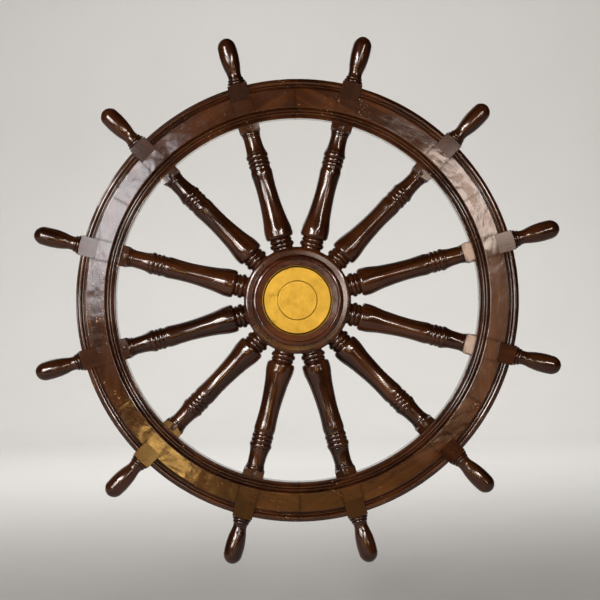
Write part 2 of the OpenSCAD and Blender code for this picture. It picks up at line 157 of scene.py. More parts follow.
vase = [(40, 39.6), (57, 39.1), (74, 36.3), (90.5, 33.5), (115.6, 31),
        (143.6, 29), (171.5, 28.2), (199.5, 28.9), (215, 30), (222, 30.1), (228, 29.5)]
bell = [(278.5, 29), (283, 27.5), (291.5, 25.9), (302.5, 24.9), (319.5, 24.4), (324, 24.5)]
SPOKE_OUTLINE = softened(along(
    [(-8, 29), (3.6, 29)] + bead(4, 18, 29.5, 5) + bead(18.4, 28, 28.9, 2.9) + [(28.4, 29.4)]
    + sweep(40, 31.4, 10.6, 8.2, 180, 96) + flow(vase) + [(231, 28.4), (237.6, 28.4)]
    + bead(238, 250, 27.8, 2.8) + bead(250.4, 261.8, 27.8, 2) + bead(262.2, 277, 28, 3.3)
    + flow(bell) + bead(325, 331.4, 24.3, 1.6) + [(331.8, 26.9), (335.6, 26.9)]))

swell = [(27, 20.6), (36, 19.4), (46, 20.7), (57, 23.2), (73.5, 25.7), (93.5, 27), (108, 26.7)]
HANDLE_OUTLINE = softened([(RIM_OUT + x, r) for x, r in (
    [(-1, 23.4), (10, 23.4)] + bead(10.2, 18.2, 23.4, 3) + bead(18.6, 26.6, 20.4, 2.8)
    + flow(swell) + sweep(113.5, 0, 30, 26.5, 80, 0, 30))])

# Front half of the rim's section: (radius, height above the middle plane).
RIM_OUTLINE = (
    [(RIM_IN, 0), (RIM_IN, RIM_H - 10)]
    + sweep(RIM_IN + 2.5, RIM_H - 10, 2.5, 2.5, 180, 90, 8)
    + flow([(RIM_IN + 3, RIM_H - 7.6), (RIM_IN + 6.4, RIM_H - 9.4), (RIM_IN + 9.6, RIM_H - 11.8)])
    + bead(RIM_IN + 10, RIM_IN + 17.8, RIM_H - 11.2, 5.4)
    + bead(RIM_IN + 18.1, RIM_IN + 24.1, RIM_H - 9.6, 4.2)
    + [(RIM_IN + 24.8, RIM_H - 9.8), (RIM_IN + 28.6, RIM_H - 2.6)]
    + sweep(RIM_IN + 31, RIM_H - 2.4, 2.4, 2.4, 180, 90, 8)
    + sweep(RIM_OUT - 29.4, RIM_H - 2.2, 2.2, 2.2, 90, 0, 8)
    + [(RIM_OUT - 25, RIM_H - 8.6), (RIM_OUT - 23.4, RIM_H - 8.8)]
    + bead(RIM_OUT - 23, RIM_OUT - 17.6, RIM_H - 8.2, 3.4)
    + bead(RIM_OUT - 17.3, RIM_OUT - 4.3, RIM_H - 7.8, 5.4)
    + [(RIM_OUT - 4, RIM_H - 10)]
    + sweep(RIM_OUT - 3, RIM_H - 13, 3, 3, 90, 0, 8)
    + [(RIM_OUT, 0)])

COVER_OUTLINE = (
    [(COVER_R - 1, 0), (COVER_R, 1), (COVER_R, COVER_T - 14.6)]
    + sweep(COVER_R - 12, COVER_T - 14, 12, 12, 0, 90, 20)
    + [(COVER_R - 12.6, COVER_T - 3.2), (COVER_R - 13.6, COVER_T - 3.2),
       (COVER_R - 14.4, COVER_T - 0.6), (COVER_R - 15, COVER_T)])

# ---- mesh building ------------------------------------------------------------------------


def smooth_noise(n, waves, seed):
    """n values round a closed loop or along a line, made of a few slow waves, about -1 to 1."""
    r = np.random.default_rng(seed)
    t = np.linspace(0, 2 * math.pi, n, endpoint=False)
    out = np.zeros(n)
    for k in range(1, waves + 1):
        out += r.normal() * np.cos(k * t + r.uniform(0, 2 * math.pi)) / math.sqrt(k)
    return out / (np.abs(out).max() + 1e-9)


def grid_faces(rows, cols, close_cols=False):
    """Quads of a rows x cols grid of vertices numbered row by row."""
    j = np.arange(cols if close_cols else cols - 1)
    faces = []
    for i in range(rows - 1):
        a = i * cols + j
        b = i * cols + (j + 1) % cols
        faces.append(np.stack([a, b, b + cols, a + cols], 1))
    return [tuple(f) for f in np.vstack(faces).tolist()]


# Pale patches on front faces, partly where handling has rubbed the varnish and partly painted
# highlights, such as the block at 165 degrees and the band at 32 degrees: (degrees, radius in mm,
# half length round the wheel in mm, half width in mm, strength).
WEAR_AND_HIGHLIGHT_PATCHES = ((32, 565, 105, 20, 0.62), (165, 600, 30, 26, 0.45), (15, 496, 34, 17, 1.0),
          (345, 496, 34, 17, 1.0), (45, 494, 22, 12, 0.6), (225, 496, 30, 14, 0.35),
          (15, 600, 30, 24, 0.8),
          (8, 140, 66, 13, 0.5), (118, 565, 60, 22, 0.22), (60, 140, 40, 13, 0.3))


def wear_and_highlight_at(v):
    """How far each vertex (metres, row frame) lies in one of the pale patches of wear and painted
    highlight, 0 to 1.
    """
    radius, angle = np.hypot(v[:, 0], v[:, 2]) / MM, np.degrees(np.arctan2(v[:, 2], v[:, 0]))
    total = np.zeros(len(v))
    for degrees, r, half_length, half_width, strength in WEAR_AND_HIGHLIGHT_PATCHES:
        round_it = np.radians((angle - degrees + 180) % 360 - 180) * r / half_length
        total += strength * np.exp(-round_it**4 - ((radius - r) / half_width) ** 4)
    return np.where(v[:, 1] < MID_Y, np.clip(total, 0, 1), 0.0)


class Builder:
    """Collects vertices (in millimetres) and faces of one piece."""

    def __init__(self):
        self.verts, self.faces, self.count = [], [], 0

    def add(self, verts, faces):
        start = self.count
        self.verts.append(np.asarray(verts, float).reshape(-1, 3))
        self.count += len(self.verts[-1])
        self.faces += [tuple(i + start for i in f) for f in faces]
        return start

    def turned(self, outline, wobble, seed):
        """Solid turned about X; the outline gives (distance along X, radius). `wobble` scales the
        slight swell and ovalness of hand turning."""
        n, sway_mm, ovalness = 72, 0.1, 0.004
        p = np.asarray(outline, float)
        x_start, x_end = p[0, 0], p[-1, 0]
        if p[-1, 1] < TINY:
            p = p[:-1]
        a = np.linspace(0, 2 * math.pi, n, endpoint=False)
        sway = smooth_noise(len(p), 6, seed) * wobble
        oval = 1 + ovalness * wobble * np.cos(2 * a + seed)
        rad = (p[:, 1] + sway * sway_mm)[:, None] * oval[None, :]
        x = np.repeat(p[:, :1], n, 1)
        v = np.stack([x, rad * np.cos(a), rad * np.sin(a)], 2).reshape(-1, 3)
        f = [t[::-1] for t in grid_faces(len(p), n, close_cols=True)]
        start = self.add(v, f)
        for end, row, turn_over in ((x_start, 0, False), (x_end, len(p) - 1, True)):
            c = self.add([[end, 0, 0]], [])
            ring = [start + row * n + k for k in range(n)]
            for k in range(n):
                t = (ring[k], ring[(k + 1) % n], c)
                self.faces.append(t[::-1] if turn_over else t)

    def lathe(self, loop):
        """Solid turned about the wheel's axis; loop is a closed outline of (radius, height)."""
        n = 288
        p = np.asarray(loop, float)
        a = np.linspace(0, 2 * math.pi, n, endpoint=False)
        r, w = p[:, 0][:, None], np.repeat(p[:, 1][:, None], n, 1)
        v = np.stack([r * np.cos(a), -w, r * np.sin(a)], 2).reshape(-1, 3)
        f = grid_faces(len(p), n, close_cols=True)
        last = (len(p) - 1) * n
        f += [(last + k, last + (k + 1) % n, (k + 1) % n, k) for k in range(n)]
        self.add(v, f)

    def sector(self, loop, lo, hi, stations):
        """A closed outline of (radius, height) carried round the axis between the angles lo(r) and
        hi(r), in radians, both ends closed. X is outwards, Z is across, -Y is the front."""
        p = np.asarray(loop, float)
        a0 = np.array([lo(r) for r in p[:, 0]])
        a1 = np.array([hi(r) for r in p[:, 0]])
        n = len(p)
        v = []
        for t in np.linspace(0, 1, stations):
            a = a0 + (a1 - a0) * t
            v.append(np.stack([p[:, 0] * np.cos(a), -p[:, 1], p[:, 0] * np.sin(a)], 1))
        f = grid_faces(stations, n, close_cols=True)
        f.append(tuple(range(n)))
        f.append(tuple((stations - 1) * n + k for k in range(n))[::-1])
        self.add(np.vstack(v), f)

    def prism(self, top, half_w, half_d, bottom, lean, crown=0.0):
        """A block along X: (half_w, half_d) in section, from bottom(across, deep) to
        top(across, deep). Its front leans by `lean` along X and is `crown` lower at its edges."""
        n = 40
        y = np.linspace(-half_d, half_d, n)
        z = np.linspace(-half_w, half_w, n)
        yy, zz = np.meshgrid(y, z, indexing="ij")
        v_top = np.stack([top(zz, yy), yy, zz], 2).reshape(-1, 3)
        v_bot = np.stack([bottom(zz, yy), yy, zz], 2).reshape(-1, 3)
        high = (v_bot if lean > 0 else v_top)[:, 0].mean()
        for v in (v_top, v_bot):
            drop = crown * (v[:, 2] / half_w) ** 2 + np.clip(lean * (v[:, 0] - high), 0, None)
            v[:, 1] += drop * np.clip(-v[:, 1] / half_d, 0, 1)
        s_top = self.add(v_top, grid_faces(n, n))
        s_bot = self.add(v_bot, [t[::-1] for t in grid_faces(n, n)])
        edge = ([(0, k) for k in range(n)] + [(k, n - 1) for k in range(1, n)]
                + [(n - 1, k) for k in range(n - 2, -1, -1)]
                + [(k, 0) for k in range(n - 2, 0, -1)])
        ring = [i * n + k for i, k in edge]
        for k in range(len(ring)):
            a, b = ring[k], ring[(k + 1) % len(ring)]
            self.faces.append((s_top + b, s_top + a, s_bot + a, s_bot + b))

    def turn_to_rear(self):
        """Mirrors the piece, front to back."""
        self.verts = [v * np.array([1, -1, 1]) for v in self.verts]
        self.faces = [f[::-1] for f in self.faces]

    def make(self, name, slot, place, seed, replaces, bevel=0.0, segments=2):
        """The finished piece at `place`, riding on the wheel. It stands for the node `replaces`.
        `seed` sets where in the grain's pattern it was cut."""
        local = np.vstack(self.verts) * MM
        m = np.array(place)
        v = local @ m[:3, :3].T + m[:3, 3]
        mesh = bpy.data.meshes.new(name)
        mesh.from_pydata(v.tolist(), [], self.faces)
        mesh.update()
        grain = mesh.attributes.new("grain", "FLOAT_VECTOR", "POINT")
        grain.data.foreach_set("vector", local.astype(np.float32).ravel())
        mesh.validate()
        mesh.polygons.foreach_set("use_smooth", [True] * len(mesh.polygons))
        mesh.set_sharp_from_angle(angle=math.radians(35))
        piece = mesh.attributes.new("piece", "FLOAT", "POINT")
        piece.data.foreach_set("value", np.full(len(mesh.vertices), seed, np.float32))
        # how far each vertex lies in a pale patch of wear and painted highlight
        wear_and_highlight = mesh.attributes.new("wear_and_highlight", "FLOAT", "POINT")
        wear_and_highlight.data.foreach_set("value", wear_and_highlight_at(v).astype(np.float32))
        mesh.materials.append(BY_SLOT[slot])
        o = bpy.data.objects.new(name, mesh)
        bpy.context.scene.collection.objects.link(o)
        if bevel:
            worn_edges = o.modifiers.new("worn_edges", "BEVEL")
            worn_edges.width, worn_edges.segments = bevel * MM, segments
            worn_edges.limit_method, worn_edges.angle_limit = "ANGLE", math.radians(38)
            worn_edges.harden_normals = False
        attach(o, "wheel")
        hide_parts(replaces)


def any_seed():
    return float(rng.uniform(0, 10))


def spoke_place(k):
    """Turns a piece drawn along +X to spoke k: X outwards, Z across, Y unchanged."""
    return (Matrix.Translation((0, MID_Y, 0))
            @ Matrix.Rotation(-math.radians(PITCH / 2 + PITCH * k), 4, "Y"))


# ---- materials ------------------------------------------------------------------------------


class Graph:
    """Short names for building a node tree."""

    def __init__(self, name):
        self.mat = bpy.data.materials.new(name)
        self.mat.use_nodes = True
        self.tree = self.mat.node_tree
        self.tree.nodes.clear()
        self.out = self.tree.nodes.new("ShaderNodeOutputMaterial")
        self.bsdf = self.tree.nodes.new("ShaderNodeBsdfPrincipled")
        self.tree.links.new(self.bsdf.outputs[0], self.out.inputs["Surface"])

    def link(self, a, b):
        self.tree.links.new(a, b)

    def node(self, kind, **values):
        n = self.tree.nodes.new(kind)
        for k, v in values.items():
            setattr(n, k, v)
        return n

    def feed(self, socket, value):
        if isinstance(value, bpy.types.NodeSocket):
            self.link(value, socket)
        else:
            socket.default_value = value

    def math(self, op, a, b=0.0, clamp=False):
        n = self.node("ShaderNodeMath", operation=op, use_clamp=clamp)
        self.feed(n.inputs[0], a)
        self.feed(n.inputs[1], b)
        return n.outputs[0]

    def vmath(self, op, a, b):
        n = self.node("ShaderNodeVectorMath", operation=op)
        self.feed(n.inputs[0], a)
        self.feed(n.inputs[1], b)
        return n.outputs[0]

    def noise(self, vector, scale, detail=3.0, rough=0.5, distortion=0.0):
        n = self.node("ShaderNodeTexNoise")
        self.link(vector, n.inputs["Vector"])
        n.inputs["Scale"].default_value = scale
        n.inputs["Detail"].default_value = detail
        n.inputs["Roughness"].default_value = rough
        n.inputs["Distortion"].default_value = distortion
        return n.outputs["Fac"]

    def span(self, value, a, b, c=0.0, d=1.0, smooth=False):
        n = self.node("ShaderNodeMapRange", clamp=True)
        if smooth:
            n.interpolation_type = "SMOOTHSTEP"
        self.feed(n.inputs[0], value)
        for i, x in zip((1, 2, 3, 4), (a, b, c, d)):
            n.inputs[i].default_value = x
        return n.outputs[0]

    def ramp(self, value, stops):
        n = self.node("ShaderNodeValToRGB")
        self.feed(n.inputs[0], value)
        e = n.color_ramp.elements
        while len(e) < len(stops):
            e.new(0.5)
        for item, (pos, colour) in zip(e, stops):
            item.position = pos
            item.color = (*colour, 1.0)
        return n.outputs["Color"]

    def mix(self, fac, a, b):
        n = self.node("ShaderNodeMix", data_type="RGBA")
        self.feed(n.inputs["Factor"], fac)
        for i, v in ((6, a), (7, b)):
            self.feed(n.inputs[i], v if isinstance(v, bpy.types.NodeSocket) else (*v, 1.0))
        return n.outputs[2]

    def bump(self, height, distance, strength=1.0, normal=None):
        n = self.node("ShaderNodeBump")
        n.inputs["Strength"].default_value = strength
        n.inputs["Distance"].default_value = distance
        self.feed(n.inputs["Height"], height)
        if normal is not None:
            self.link(normal, n.inputs["Normal"])
        return n.outputs[0]

    def place(self, own=True):
        """Coordinates in metres, shifted by a different amount on each piece, and the piece's seed.
        They are the piece's own, with X along its grain, or else the row frame's."""
        if own:
            coord = self.node("ShaderNodeAttribute", attribute_name="grain").outputs["Vector"]
        else:
            coord = self.node("ShaderNodeTexCoord").outputs["Object"]
        seed = self.node("ShaderNodeAttribute", attribute_name="piece").outputs["Fac"]
        shift = self.node("ShaderNodeCombineXYZ")
        for i, k in enumerate((1.37, 2.11, 3.73)):
            self.link(self.math("MULTIPLY", seed, k), shift.inputs[i])
        return self.vmath("ADD", coord, shift.outputs[0]), seed


# pale colour of the patches of rubbed varnish and of painted highlight
WEAR_AND_HIGHLIGHT_COLOUR = (0.46, 0.345, 0.27)
CHIPPED_WOOD = (0.60, 0.38, 0.20)
# near-black painted into the grooves: painted shade over old polish
GROOVE_SHADE_AND_POLISH = (0.004, 0.0012, 0.0004)
RAISED_EDGE = (0.52, 0.57)    # pointiness, from just raised to sharp
GROOVE = (0.455, 0.492)       # pointiness, from deep to flat
WEDGE_END = (0.149, 0.152)    # where a spoke leaves the hub ring, in metres from the axis


def varnished_wood(name, dark, mid, light, wave=1.0, gloss=(0.07, 0.17), chips=0.68, edge_highlight_and_rub=0.4,
                   root=0.0):
    """Dark mahogany, grain along X, under thick, slightly uneven gloss varnish. `wave` is the
    unevenness, `gloss` the coat's roughness from smooth to smeared, `edge_highlight_and_rub` how much
    lighter the raised edges are, partly as varnish rubbed thin and partly as a painted highlight, and
    `root` how much lighter a spoke's wedge of the hub ring is. A higher `chips` leaves fewer chips.
    Noise scales are per metre, and bump distances are metres."""
    g = Graph(name)
    at, seed = g.place()
    long = g.vmath("MULTIPLY", at, (0.055, 1.0, 1.0))
    figure = g.noise(long, 34.0, 4.0, 0.55, 0.9)
    cloud = g.noise(at, 9.0, 3.0, 0.5, 0.4)
    fibre = g.noise(g.vmath("MULTIPLY", at, (0.03, 1.0, 1.0)), 620.0, 3.0, 0.6)
    pores = g.noise(g.vmath("MULTIPLY", at, (0.07, 1.0, 1.0)), 1400.0, 1.0, 0.4)
    tone = g.math("ADD", g.math("MULTIPLY", figure, 0.62), g.math("MULTIPLY", cloud, 0.38))
    tone = g.math("ADD", tone, g.math("MULTIPLY", g.math("SUBTRACT", seed, 5.0), 0.006))
    if root:
        along_it = g.node("ShaderNodeSeparateXYZ")
        g.link(g.node("ShaderNodeAttribute", attribute_name="grain").outputs["Vector"],
               along_it.inputs[0])
        tone = g.math("ADD", tone, g.span(along_it.outputs[0], *WEDGE_END, root, 0.0))
    colour = g.ramp(tone, [(0.38, dark), (0.5, mid), (0.62, light)])
    colour = g.mix(g.span(fibre, 0.38, 0.7, 0.0, 0.45), colour, dark)
    colour = g.mix(g.span(pores, 0.66, 0.74, 0.0, 0.6), colour, tuple(c * 0.35 for c in dark))
    # raised edges are lighter and redder: partly varnish rubbed thin, partly a painted highlight
    # along the edges
    edge = g.node("ShaderNodeNewGeometry").outputs["Pointiness"]
    edge_highlight_and_wear = g.math("MULTIPLY", g.span(edge, *RAISED_EDGE, 0.0, 1.0, True),
                  g.span(g.noise(at, 70.0, 4.0, 0.6), 0.47, 0.62), True)
    colour = g.mix(g.math("MULTIPLY", edge_highlight_and_wear, edge_highlight_and_rub), colour, tuple(min(1, c * 2.6) for c in light))
    # painted shade: the grooves are darkened towards near-black, partly as old polish and dirt, and
    # dulled
    groove_shade_and_grime = g.span(edge, *GROOVE, 1.0, 0.0, True)
    colour = g.mix(g.math("MULTIPLY", groove_shade_and_grime, 0.8), colour, GROOVE_SHADE_AND_POLISH)
    # chips: small pale specks, in loose clusters
    speck = g.math("MULTIPLY", g.span(g.noise(at, 210.0, 2.0, 0.5), chips, chips + 0.03),
                   g.span(g.noise(at, 14.0, 2.0, 0.5), 0.53, 0.62), True)
    colour = g.mix(speck, colour, CHIPPED_WOOD)
    # pale patches, partly rubbed varnish and partly painted highlight: streaked by scratches, and
    # less glossy
    wear_and_highlight = g.node("ShaderNodeAttribute", attribute_name="wear_and_highlight").outputs["Fac"]
    scratch = g.noise(g.vmath("MULTIPLY", at, (0.12, 1.0, 1.0)), 300.0, 4.0, 0.7, 0.8)
    smudge = g.noise(at, 45.0, 5.0, 0.65, 0.5)
    pale_wear_and_highlight = g.math("ADD", g.math("MULTIPLY", scratch, 0.5), g.math("MULTIPLY", smudge, 0.5))
    pale_wear_and_highlight = g.span(g.math("ADD", wear_and_highlight, pale_wear_and_highlight), 1.0, 1.3, 0.0, 1.0, True)
    colour = g.mix(g.math("MULTIPLY", pale_wear_and_highlight, 0.85), colour, WEAR_AND_HIGHLIGHT_COLOUR)
    g.link(colour, g.bsdf.inputs["Base Color"])
    # the varnish: smeared and finely hazed, dull where it is rubbed or dirty
    smear = g.noise(at, 26.0, 4.0, 0.6, 0.6)
    fine = g.noise(at, 240.0, 3.0, 0.6)
    haze = g.math("ADD", g.span(smear, 0.3, 0.75, *gloss),
                  g.span(fine, 0.3, 0.7, 0.0, 0.3 * (gloss[1] - gloss[0])))
    haze = g.math("ADD", haze, g.math("MULTIPLY", pale_wear_and_highlight, 0.3))
    g.link(haze, g.bsdf.inputs["Coat Roughness"])
    g.link(g.span(smear, 0.3, 0.7, 0.36, 0.5), g.bsdf.inputs["Roughness"])
    g.link(g.math("MULTIPLY", g.span(pale_wear_and_highlight, 0.0, 1.0, 1.0, 0.35), g.span(groove_shade_and_grime, 0.0, 1.0, 1.0, 0.3)),
           g.bsdf.inputs["Coat Weight"])
    g.bsdf.inputs["Coat IOR"].default_value = 1.52
    g.bsdf.inputs["Specular IOR Level"].default_value = 0.12
    g.bsdf.inputs["Specular Tint"].default_value = (1.0, 0.42, 0.18, 1.0)
    # its surface: long ripples, sags along the grain, fine peel, and the fibre under it
    ripple = g.noise(at, 15.0, 2.0, 0.45, 0.3)
    sag = g.noise(g.vmath("MULTIPLY", at, (0.35, 1.0, 1.0)), 70.0, 2.0, 0.5)
    peel = g.noise(at, 420.0, 2.0, 0.5)
    n1 = g.bump(ripple, 0.0011 * wave)
    n2 = g.bump(sag, 0.00016 * wave, 1.0, n1)
    n3 = g.bump(peel, 0.000003 + 0.000009 * wave, 1.0, n2)
    n4 = g.bump(fibre, 0.00004, 0.6, n3)
    g.link(n4, g.bsdf.inputs["Normal"])
    g.link(n3, g.bsdf.inputs["Coat Normal"])
    return g.mat


def satin_brass(name, base, dull):
    """Brass with arcs of wear and fine turning marks round the wheel's axis, blotched by polishing.
    """
    metres_per_radian = 0.004     # far less than the radius, which draws the marks out into arcs
    g = Graph(name)
    at, _ = g.place(own=False)
    coord = g.node("ShaderNodeTexCoord").outputs["Object"]
    blotch = g.noise(at, 30.0, 6.0, 0.7, 0.4)
    spots = g.noise(at, 190.0, 5.0, 0.7)
    sep = g.node("ShaderNodeSeparateXYZ")
    g.link(coord, sep.inputs[0])
    x, z = sep.outputs[0], sep.outputs[2]
    radius = g.math("SQRT", g.math("ADD", g.math("MULTIPLY", x, x), g.math("MULTIPLY", z, z)))
    round_it = g.node("ShaderNodeCombineXYZ")
    g.link(radius, round_it.inputs[0])
    g.link(g.math("MULTIPLY", g.math("ARCTAN2", z, x), metres_per_radian), round_it.inputs[1])
    arcs = g.noise(round_it.outputs[0], 330.0, 4.0, 0.65)
    stain = g.noise(at, 24.0, 2.0, 0.5)
    colour = g.mix(g.span(blotch, 0.36, 0.66, 0.0, 0.75), base, dull)
    colour = g.mix(g.span(arcs, 0.54, 0.72, 0.0, 0.5), colour, dull)
    colour = g.mix(g.span(spots, 0.6, 0.76, 0.0, 0.3), colour, tuple(c * 0.6 for c in dull))
    colour = g.mix(g.span(stain, 0.68, 0.74, 0.0, 0.5), colour, tuple(c * 0.45 for c in dull))
    g.link(colour, g.bsdf.inputs["Base Color"])
    g.bsdf.inputs["Metallic"].default_value = 1.0
    g.link(g.span(blotch, 0.3, 0.7, 0.3, 0.48), g.bsdf.inputs["Roughness"])
    fine = g.noise(round_it.outputs[0], 1900.0, 2.0, 0.7)
    height = g.math("ADD", g.math("MULTIPLY", spots, 0.25), fine)
    g.link(g.bump(height, 0.00003, 0.8), g.bsdf.inputs["Normal"])
    return g.mat


def plain_metal(name, base, other, rough, bump=0.00004, scale=220.0):
    """Metal mottled between two colours, with fine pits `bump` metres deep."""
    g = Graph(name)
    at, _ = g.place(own=False)
    a = g.noise(at, scale, 5.0, 0.65)
    b = g.noise(at, 30.0, 4.0, 0.55)
    g.link(g.mix(g.span(b, 0.35, 0.7), base, other), g.bsdf.inputs["Base Color"])
    g.link(g.span(a, 0.3, 0.7, *rough), g.bsdf.inputs["Roughness"])
    g.bsdf.inputs["Metallic"].default_value = 1.0
    g.link(g.bump(a, bump), g.bsdf.inputs["Normal"])
    return g.mat


RIM_WOOD = varnished_wood("rim_mahogany", (0.0092, 0.0022, 0.0005), (0.029, 0.0075, 0.0017),
                          (0.064, 0.0190, 0.0048), gloss=(0.07, 0.14))
TURNED_WOOD = varnished_wood("turned_mahogany", (0.0078, 0.0019, 0.0004), (0.024, 0.0060, 0.0014),
                             (0.052, 0.0148, 0.0038), wave=0.10, gloss=(0.125, 0.135),
                             chips=0.74, root=0.07)
HUB_WOOD = varnished_wood("hub_mahogany", (0.017, 0.0034, 0.0009), (0.046, 0.0094, 0.0024),
                          (0.080, 0.0200, 0.0056), wave=0.4, gloss=(0.10, 0.13), chips=0.72,
                          edge_highlight_and_rub=0.1)
BRASS = satin_brass("satin_brass", (0.392, 0.250, 0.036), (0.262, 0.155, 0.019))
SCREW_BRASS = plain_metal("screw_brass", (0.52, 0.34, 0.13), (0.30, 0.19, 0.08), (0.35, 0.6))
BRONZE = plain_metal("bronze", (0.55, 0.34, 0.15), (0.40, 0.24, 0.10), (0.28, 0.45))
CAST_BRONZE = plain_metal("cast_bronze", (0.42, 0.27, 0.11), (0.23, 0.145, 0.065), (0.42, 0.7),
                          bump=0.00025, scale=160.0)
DARK_STEEL = plain_metal("dark_steel", (0.16, 0.155, 0.15), (0.09, 0.085, 0.08), (0.35, 0.6))
GROUND_STEEL = plain_metal("ground_steel", (0.5, 0.5, 0.5), (0.36, 0.36, 0.36), (0.2, 0.36))

BY_SLOT = {"turned_mahogany": TURNED_WOOD, "rim_mahogany": RIM_WOOD, "hub_mahogany": HUB_WOOD,
           "satin_brass": BRASS, "screw_brass": SCREW_BRASS, "bronze": BRONZE,
           "cast_bronze": CAST_BRONZE, "dark_steel": DARK_STEEL, "ground_steel": GROUND_STEEL}
for part in frame["record"]["subparts"]:
    o = frame["nodes"][part["node"]]
    o.data.materials.clear()
    o.data.materials.append(BY_SLOT[part["material_slot"]])

# ---- spokes -----------------------------------------------------------------------------------


def shoulder(start):
    """Hub-side face of a spoke's square block: flat in the middle, turned away outside."""
    def top(across, deep):
        rho = np.hypot(across, deep)
        return start + np.interp(rho, [0, 26.9, 27.6, 29.2, 31, 37, 44], [0, 0, 3, 4.2, 5, 8.3, 12])
    return top


def root_loop():
    """Section of a spoke's wedge of the hub ring, its outer corners rounded."""
    r, h = 11, 9                  # of the rounding, outwards and to the front
    return ([(SLEEVE_R + GAP, -HUB_H)] + sweep(HUB_R - r, h - HUB_H, r, h, -90, 0, 14)
            + sweep(HUB_R - r, HUB_H - h, r, h, 0, 90, 14) + [(SLEEVE_R + GAP, HUB_H)])


def side_angle(half_arc):
    """The angle at radius r of a side that stays GAP short of the line at half_arc."""
    return lambda r: half_arc - math.asin(min(1, GAP / r))


# The square blocks were planed by eye, so few of their faces lie true with the rim's.
PLINTH_LEAN = (0.0, 0.03, 0.06, -0.07, 0.07, -0.07, 0.07, 0.0, -0.06, 0.06, 0.07, 0.0)

for k in range(SPOKES):
    b = Builder()
    edge = side_angle(math.radians(PITCH / 2))
    b.sector(root_loop(), lambda r: -edge(r), edge, 20)
    b.turned(SPOKE_OUTLINE, 1.0, 11 + k)
    start = along([(PLINTH_START, 0)])[0][0]
    b.prism(lambda z, y: np.sqrt((RIM_IN - GAP) ** 2 - z**2), PLINTH_W / 2, PLINTH_D / 2,
            shoulder(start), lean=PLINTH_LEAN[k], crown=0.5 if PLINTH_LEAN[k] else 0.1)
    b.make(f"turned_spoke_{k + 1:02d}", "turned_mahogany", spoke_place(k), any_seed(),
           f"spoke_{k + 1:02d}", bevel=0.8, segments=3)

# ---- handles ----------------------------------------------------------------------------------


def dome(across, deep):
    """Outer end of a handle's square block: a rounded boss, lower towards the corners."""
    flat_r, band, corner, rise = 27, 22, -7, 17
    t = np.clip((np.hypot(across, deep) - flat_r) / band, 0, 1)
    return RIM_OUT + corner + rise * np.sqrt(1 - t * t)


BLOCK_LEAN = (-0.015, 0.008, 0.0, 0.0, -0.04, 0.0, -0.09, 0.0, 0.0, 0.0, 0.04, 0.05)

for k in range(SPOKES):
    b = Builder()
    b.turned(HANDLE_OUTLINE, 0.6, 41 + k)
    b.prism(dome, BLOCK_W / 2, RIM_H, lambda z, y: np.full_like(z, BLOCK_R0), lean=BLOCK_LEAN[k])
    b.make(f"turned_handle_{k + 1:02d}", "turned_mahogany", spoke_place(k), any_seed(),
           f"handle_{k + 1:02d}", bevel=0.8, segments=3)

# ---- rim --------------------------------------------------------------------------------------

CLEAR = 0.1                   # between a handle block and its notch
NOTCH = BLOCK_W / 2 + CLEAR
NOTCH_R = BLOCK_R0 - CLEAR


def felloe(name, centre_deg, front, replaces):
    """One sixth of the rim's front or rear layer, notched for two handle blocks."""
    full = [tuple(p) for p in softened(RIM_OUTLINE, 0.9, 0.5)]
    inner = [p for p in full if p[0] < NOTCH_R] + [(NOTCH_R, RIM_H), (NOTCH_R, 0)]
    full = [(r, w + GAP if w < TINY else w) for r, w in full]
    inner = [(r, w + GAP if w < TINY else w) for r, w in inner]
    b = Builder()
    end = side_angle(math.pi / FELLOES)

    def beside(side, sign):
        return lambda r: side * math.radians(PITCH / 2) + sign * math.asin(NOTCH / r)

    b.sector(full, lambda r: -end(r), beside(-1, -1), 14)
    b.sector(inner, beside(-1, -1), beside(-1, 1), 10)
    b.sector(full, beside(-1, 1), beside(1, -1), 26)
    b.sector(inner, beside(1, -1), beside(1, 1), 10)
    b.sector(full, beside(1, 1), end, 14)
    if not front:
        b.turn_to_rear()
    # grain runs along the board, square to the radius at the segment's middle
    turn = np.array([[0, 0, 1], [0, 1, 0], [-1, 0, 0]], float)
    b.verts = [v @ turn.T for v in b.verts]
    place = (Matrix.Translation((0, MID_Y, 0))
             @ Matrix.Rotation(-math.radians(centre_deg + 90), 4, "Y"))
    b.make(name, "rim_mahogany", place, any_seed(), replaces, bevel=0.5)


ARC = 360 / FELLOES
for i in range(FELLOES):
    felloe(f"rim_front_{i + 1}", ARC * i, True, f"front_felloe_{i + 1}")
    felloe(f"rim_rear_{i + 1}", ARC * (i + 0.5), False, f"rear_felloe_{i + 1}")

# ---- hub --------------------------------------------------------------------------------------

COVER_EDGE = [tuple(p) for p in softened(COVER_OUTLINE, 0.7, 0.4)]
LIP_R = BEZEL_R + GAP
LIP = [(LIP_R + 0.6, COVER_T), (LIP_R, COVER_T - 0.6)]        # the recess's softened edge
PLATE_W = (MID_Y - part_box("front_nave_plate")[1].y) / MM      # height of the plate's underside
PLATE_T = 1.5                                                 # under the cap


def at_height(w):
    return Matrix.Translation((0, MID_Y - w * MM, 0))


b = Builder()
seat_r, bezel_seat, plate_seat, cavity_r, web = PLATE_R + 0.4, COVER_T - 4.5, COVER_T - 2.6, 90, 6
b.lathe([(SLEEVE_R + 1, 0)] + COVER_EDGE + LIP
        + [(LIP_R, bezel_seat), (seat_r, bezel_seat), (seat_r, plate_seat), (cavity_r, plate_seat),
           (cavity_r, web), (SLEEVE_R + 1, web)])
b.make("hub_face_cover", "hub_mahogany", at_height(HUB_H + GAP), 3.1, "hub_front_cover")

